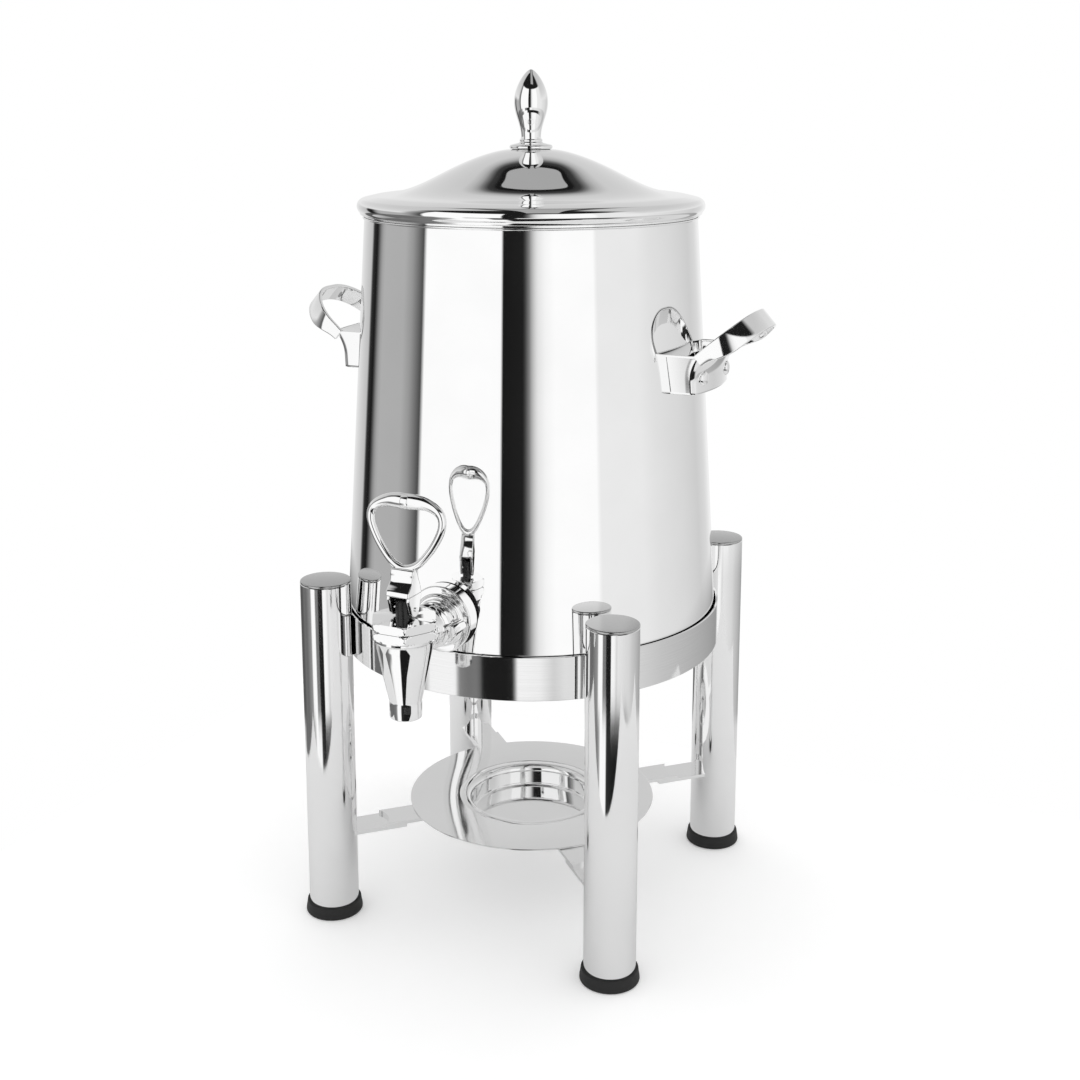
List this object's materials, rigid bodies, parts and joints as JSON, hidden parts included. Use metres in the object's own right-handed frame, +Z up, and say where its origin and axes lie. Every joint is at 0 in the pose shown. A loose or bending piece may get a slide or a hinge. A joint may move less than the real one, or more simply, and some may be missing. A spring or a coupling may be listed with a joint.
{
  "type": "coffee urn",
  "caption": "Polished coffee urn with a tapered vessel, domed lid, turned knob, riveted loop handles and a lever tap, on a four-post stand with a ring band and a fuel-can plate.",
  "frame": {"origin": "on the table, on the vertical axis of the vessel, midway between the four feet", "axes": "+Z up, -Y the side of the tap, X through the two handles"},
  "size_m": [0.3804, 0.3672, 0.6434],
  "materials": {
    "mirror_steel": "mirror-polished stainless steel",
    "handle_steel": "polished stainless steel strip",
    "cast_steel": "turned and polished steel",
    "plain_steel": "plain machined steel",
    "tap_chrome": "polished casting",
    "black_plastic": "smooth black moulding",
    "silicone": "translucent white silicone",
    "post_steel": "polished stainless tube",
    "foot_rubber": "matt black rubber",
    "brushed_band": "steel brushed along the band",
    "plate_steel": "polished stainless sheet"
  },
  "bodies": {
    "stand": {"leg_tube_front_left": "post_steel", "leg_tube_front_right": "post_steel", "leg_tube_back_left": "post_steel", "leg_tube_back_right": "post_steel", "leg_cap_front_left": "post_steel", "leg_cap_front_right": "post_steel", "leg_cap_back_left": "post_steel", "leg_cap_back_right": "post_steel", "leg_foot_front_left": "foot_rubber", "leg_foot_front_right": "foot_rubber", "leg_foot_back_left": "foot_rubber", "leg_foot_back_right": "foot_rubber", "ring_band": "brushed_band", "ring_ledge": "brushed_band", "leg_bracket_front_left": "plate_steel", "leg_bracket_front_right": "plate_steel", "leg_bracket_back_left": "plate_steel", "leg_bracket_back_right": "plate_steel", "plate_arm_front_left": "plate_steel", "plate_arm_front_right": "plate_steel", "plate_arm_back_left": "plate_steel", "plate_arm_back_right": "plate_steel", "burner_plate": "plate_steel"},
    "urn": {"urn_shell": "mirror_steel", "urn_bottom": "mirror_steel", "rim_bead": "mirror_steel", "handle_left": "handle_steel", "handle_right": "handle_steel", "handle_bracket_left": "handle_steel", "handle_bracket_right": "handle_steel", "handle_rivets_left": "handle_steel", "handle_rivets_right": "handle_steel", "tap_shank": "tap_chrome", "tap_outer_gasket": "black_plastic", "tap_inner_gasket": "black_plastic", "tap_lock_nut": "tap_chrome", "tap_wing_nut": "tap_chrome", "tap_body": "tap_chrome", "tap_bonnet": "tap_chrome"},
    "lid": {"lid_dome": "mirror_steel", "lid_skirt": "mirror_steel", "lid_finial": "cast_steel", "finial_washer": "plain_steel", "finial_screw": "plain_steel"},
    "valve_stem": {"tap_stem": "black_plastic", "tap_seat_cup": "silicone", "tap_lever_pin": "plain_steel"},
    "lever": {"tap_lever": "tap_chrome"}
  },
  "joints": [
    {"name": "urn_lift", "type": "slide", "parent": "stand", "child": "urn", "axis": [0, 0, 1], "range_m": [0, 0.32]},
    {"name": "lid_lift", "type": "slide", "parent": "urn", "child": "lid", "axis": [0, 0, 1], "range_m": [0, 0.15]},
    {"name": "stem_lift", "type": "slide", "parent": "urn", "child": "valve_stem", "axis": [0, 0, 1], "range_m": [0, 0.0041]},
    {"name": "lever_pull", "type": "hinge", "parent": "valve_stem", "child": "lever", "pos_m": [0, -0.2, 0.289], "axis": [1, 0, 0], "range_deg": [0, 75]}
  ],
  "couplings": [
    {"joint": "stem_lift", "follows": "lever_pull", "m_per_rad": 0.003056}
  ]
}
